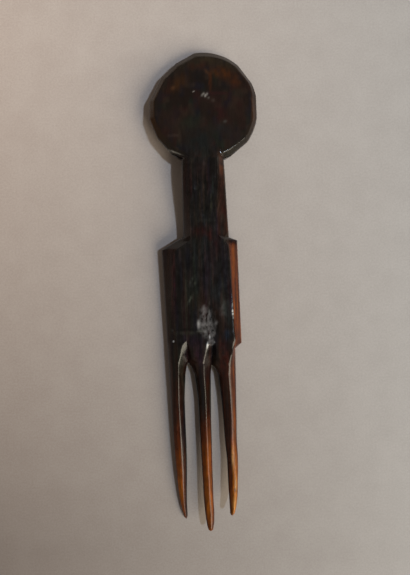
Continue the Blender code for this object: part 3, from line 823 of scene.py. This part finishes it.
def rubbed(patch):
    """How far a face is drawn as bare grey gloss: the irregular scar low on the body's front, a worn patch
    partly painted as sheen, and a patch of painted sheen to its right.
    """
    x, below = patch.x, patch.below
    total = np.zeros_like(x)
    if patch.part != "trunk" or patch.side < 0:
        return total
    for *oval, strength in scar_and_sheen_parts:
        torn = from_spot(x, below, *oval) + drifting(scar_tears, x, below)
        total = np.maximum(total, strength * ease(1.15, 0.35, torn))
    return total * (1 - 0.6 * np.exp(-from_spot(x, below, *scar_gap) ** 1.4))


def figure(patch):
    """How plainly the grain shows: fully, but faintly under the disc's patina."""
    if patch.part == "head":
        return 1 - 0.7 * ease(-neck_length, -neck_length - 9 * mm, patch.below)
    return np.ones_like(patch.x)


def comb_skin():
    """The whole carving as one closed mesh: front and back sheets that are joined at the outline."""
    corners, quads, colours = [], [], []
    finishes = {wear: [], rubbed: [], figure: []}
    start = 0
    for patch in comb_patches():
        rows, columns = patch.x.shape
        places = (patch.x + side_shift, shoulder_y - patch.below, patch.z)
        corners.append(np.stack(places, axis=-1).reshape(-1, 3))
        for rule, values in finishes.items():
            values.append(rule(patch).ravel())
        colours.append(wood_colour_with_painted_light(patch).reshape(-1, 3))
        quads.append(sheet_faces(rows, columns, start, (patch.side > 0) != (patch.part == "head")))
        start += rows * columns
    data = bpy.data.meshes.new("carved_comb")
    data.from_pydata(np.concatenate(corners), [], np.concatenate(quads))
    for rule, values in finishes.items():
        attribute = data.attributes.new(rule.__name__, "FLOAT", "POINT")
        attribute.data.foreach_set("value", np.concatenate(values).astype(np.float32))
    attribute = data.attributes.new("wood", "FLOAT_COLOR", "POINT")
    colours = np.insert(np.concatenate(colours), 3, 1, axis=1)
    attribute.data.foreach_set("color", colours.ravel().astype(np.float32))
    mesh = bmesh.new()
    mesh.from_mesh(data)
    bmesh.ops.remove_doubles(mesh, verts=mesh.verts, dist=join_reach)
    bmesh.ops.dissolve_degenerate(mesh, edges=mesh.edges, dist=join_reach / 2)
    bmesh.ops.recalc_face_normals(mesh, faces=mesh.faces)
    mesh.to_mesh(data)
    mesh.free()
    data.shade_smooth()
    data.set_sharp_from_angle(angle=crisp_angle)
    return placed("carved_comb", data)


def placed(name, data):
    """A new object in the scene."""
    made = bpy.data.objects.new(name, data)
    bpy.context.scene.collection.objects.link(made)
    return made


def linear(code):
    """An sRGB hex value as the linear colour that a shader reads."""
    parts = [int(code[index:index + 2], 16) / 255 for index in (1, 3, 5)]
    return (*(part / 12.92 if part <= 0.04045 else ((part + 0.055) / 1.055) ** 2.4 for part in parts), 1)


def put(tree, kind, sockets=(), out=0, stops=(), **settings):
    """Adds a shader node with its settings and colour stops, and gives the output asked for.

    Its sockets, in order or by name, get a value or a link each.
    """
    made = tree.nodes.new("ShaderNode" + kind)
    for name, value in settings.items():
        setattr(made, name, value)
    for name, value in (sockets.items() if isinstance(sockets, dict) else enumerate(sockets)):
        if isinstance(value, bpy.types.NodeSocket):
            tree.links.new(value, made.inputs[name])
        else:
            made.inputs[name].default_value = value
    for index, (place, code) in enumerate(stops):
        element = made.color_ramp.elements[index] if index < 2 else made.color_ramp.elements.new(place)
        element.position = place
        element.color = linear(code)
    return made.outputs[out]


def material(name):
    """A new material with its node tree and its shader."""
    made = bpy.data.materials.new(name)
    made.use_nodes = True
    return made, made.node_tree, made.node_tree.nodes["Principled BSDF"]


def patterns(tree, **sizes):
    """Noise patterns in the comb's own places, by the size in millimetres of their features each way."""
    place = put(tree, "TexCoord", out="Object")
    made = {}
    for name, (size, detail, roughness) in sizes.items():
        scaled = put(tree, "Mapping", {"Vector": place, "Scale": [1 / (part * mm) for part in size]})
        made[name] = put(tree, "TexNoise", {"Vector": scaled, "Scale": 1, "Detail": detail,
                                            "Roughness": roughness})
    return made


def handled_wood():
    """Close-grained hardwood under a black, hand-rubbed patina that wears through to red and honey brown.

    The patina has a dark satin gloss; its colours also carry painted glints, painted sheen and painted shade,
    and the scar's grey is partly painted sheen. The grain's fine streaks are drawn 0.5 mm wide, coarser than
    they are, so that they show.
    """
    made, tree, shader = material("hand_rubbed_dark_hardwood")
    wood = put(tree, "Attribute", out="Color", attribute_name="wood")
    worn, scar_and_sheen, plain = (put(tree, "Attribute", out="Fac", attribute_name=name)
                               for name in ("wear", "rubbed", "figure"))
    noise = patterns(tree, grain=((0.45, 11, 0.45), 4, 0.65), streaks=((1.2, 24, 1.2), 3, 0.55),
                     blotches=((2.2, 3.4, 2.2), 4, 0.6), dashes=((0.35, 2.4, 0.6), 2, 0.5),
                     pores=((0.3, 1.2, 0.3), 2, 0.6), crackle=((1.5, 2.6, 1.5), 3, 0.6))
    level = 1.0
    for name, low, high in (("grain", 0.6, 1.4), ("streaks", 0.55, 1.45), ("blotches", 0.72, 1.28)):
        varied = put(tree, "MapRange", (noise[name], 0.3, 0.7, low, high))
        level = put(tree, "Math", (varied, level), operation="MULTIPLY")
    level = put(tree, "Mix", {0: plain, 2: 1, 3: level})
    colour = put(tree, "HueSaturation", {"Value": level, "Color": wood})
    bare_wood = put(tree, "MapRange", (worn, 0.3, 0.45, 0, 0.7))
    dashes = put(tree, "MapRange", (noise["dashes"], 0.64, 0.7))
    dashes = put(tree, "Math", (dashes, bare_wood), operation="MULTIPLY")
    crackle = put(tree, "MapRange", (noise["crackle"], 0.36, 0.66))
    # grey on the scar, which is worn and partly painted sheen, and on the painted sheen patch beside it
    grey = put(tree, "Math", (scar_and_sheen, crackle), operation="MULTIPLY")
    for share, code in ((dashes, "#24140c"), (grey, "#716f70")):
        colour = put(tree, "Mix", {0: share, 6: colour, 7: linear(code)}, out=2, data_type="RGBA")
    gloss = put(tree, "MapRange", (noise["blotches"], 0.3, 0.7, 0.13, 0.23))
    gloss = put(tree, "Math", (bare_wood, 0.2, gloss), operation="MULTIPLY_ADD")
    height = put(tree, "Math", (noise["grain"], noise["pores"]), operation="ADD")
    height = put(tree, "Math", (grey, 1.5, height), operation="MULTIPLY_ADD")
    bump = put(tree, "Bump", {"Height": height, "Strength": 0.4, "Distance": 0.06 * mm})
    for name, value in (("Base Color", colour), ("Roughness", gloss), ("Normal", bump)):
        tree.links.new(value, shader.inputs[name])
    shader.inputs["IOR"].default_value = 1.4
    return made


def table_with_painted_shade():
    """Pale warm grey table top: matt and faintly mottled.

    Its level is painted shade: it rises towards the comb's head and twists from corner to corner, and it
    cools to the right, per metre.
    """
    # painted shade on the table: level, rise, twist, saturation, cooling and the reach it is clamped to
    level, rise, shade_twist, saturation, shade_cooling, reach = 0.93, 1.9, -14.5, 1.2, -6, 0.13
    made, tree, shader = material("pale_matt_table_top_with_painted_shade")
    noise = patterns(tree, mottle=((14, 14, 14), 4, 0.6), speck=((0.9, 0.9, 0.9), 2, 0.6))
    both = put(tree, "Math", (noise["mottle"], 0.6, noise["speck"]), operation="MULTIPLY_ADD")
    paper = put(tree, "ValToRGB", [both], stops=((0.6, "#b4aca8"), (1, "#beb7b3")))
    place = put(tree, "TexCoord", out="Object")
    across, up = (put(tree, "Clamp", (put(tree, "SeparateXYZ", [place], out=axis), -reach, reach))
                  for axis in ("X", "Y"))
    shade_rising = put(tree, "Math", (up, rise, level), operation="MULTIPLY_ADD")
    corners = put(tree, "Math", (across, up), operation="MULTIPLY")
    value = put(tree, "Math", (corners, shade_twist, shade_rising), operation="MULTIPLY_ADD")
    shade_warmth = put(tree, "Math", (across, shade_cooling, saturation), operation="MULTIPLY_ADD")
    colour = put(tree, "HueSaturation", {"Saturation": shade_warmth, "Value": value, "Color": paper})
    tree.links.new(colour, shader.inputs["Base Color"])
    shader.inputs["Roughness"].default_value = 0.9
    return made


def table():
    """A flat square top just under the comb, far wider than the view."""
    half, gap = 1.5, 0.05 * mm
    data = bpy.data.meshes.new("table_top")
    corners = [(-half, -half, 0), (half, -half, 0), (half, half, 0), (-half, half, 0)]
    data.from_pydata(corners, [], [(0, 1, 2, 3)])
    data.materials.append(table_with_painted_shade())
    made = placed("table_top", data)
    made.location.z = -gap


def lamp(name, direction, distance, size, share, colour):
    """A square area lamp that faces the comb from a direction and gives a share of the table's full light."""
    way = Vector(direction).normalized()
    data = bpy.data.lights.new(name, "AREA")
    data.shape = "SQUARE"
    data.size = size
    data.energy = share * math.pi ** 2 * distance ** 2 / way.z
    data.color = linear(colour)[:3]
    made = placed(name, data)
    made.location = way * distance
    made.rotation_euler = way.to_track_quat("Z", "Y").to_euler()


def lights():
    """A small cool lamp high on the right, a wide warm one low on the lower right, and a dim surround.

    The surround is brightest in a ring half way up and dimmer overhead, where the black faces mirror it.
    """
    lamp("small_cool_lamp", (0.48, 0, 1), distance=1, size=0.035, share=0.31, colour="#d5e9ff")
    lamp("wide_warm_window", (1.2, -1, 1), distance=2, size=1.46, share=0.58, colour="#fff4dd")
    world = bpy.data.worlds.new("dim_surround")
    world.use_nodes = True
    tree = world.node_tree
    seen = put(tree, "LightPath", out="Is Camera Ray")
    up = put(tree, "SeparateXYZ", [put(tree, "TexCoord", out="Generated")], out="Z")
    ring = put(tree, "ValToRGB", [up], stops=(
        (0.05, "#5a524a"), (0.97, "#5a534c"), (0.3, "#776e65"), (0.8, "#776e65")))
    shade = put(tree, "Mix", {0: seen, 6: ring, 7: linear("#b5aba4")}, out=2, data_type="RGBA")
    tree.links.new(shade, tree.nodes["Background"].inputs["Color"])
    bpy.context.scene.world = world


def camera():
    """Looks straight down at the comb from the photo's height, turned as the comb lies in the photo.

    The photo's middle lies some way below the shoulders. The comb's foot lies 7.7 pixels right in 422.
    """
    camera_height, middle_drop, turn = 240 * mm, 24.76 * mm, math.atan2(7.7, 422)
    pixels_high, pixel_on_table = 575, 0.5 * mm
    data = bpy.data.cameras.new("camera")
    data.sensor_fit = "VERTICAL"
    data.sensor_height = 36
    data.lens = data.sensor_height * camera_height / (pixel_on_table * pixels_high)
    made = placed("camera", data)
    made.location = (side_shift, shoulder_y - middle_drop, camera_height)
    made.rotation_euler = (0, 0, -turn)
    bpy.context.scene.camera = made


comb = comb_skin()
comb.data.materials.append(handled_wood())
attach(comb, "root")
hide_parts("head", "neck", "body", *tine_nodes)
table()
lights()
camera()
bpy.context.scene.view_settings.view_transform = "Standard"
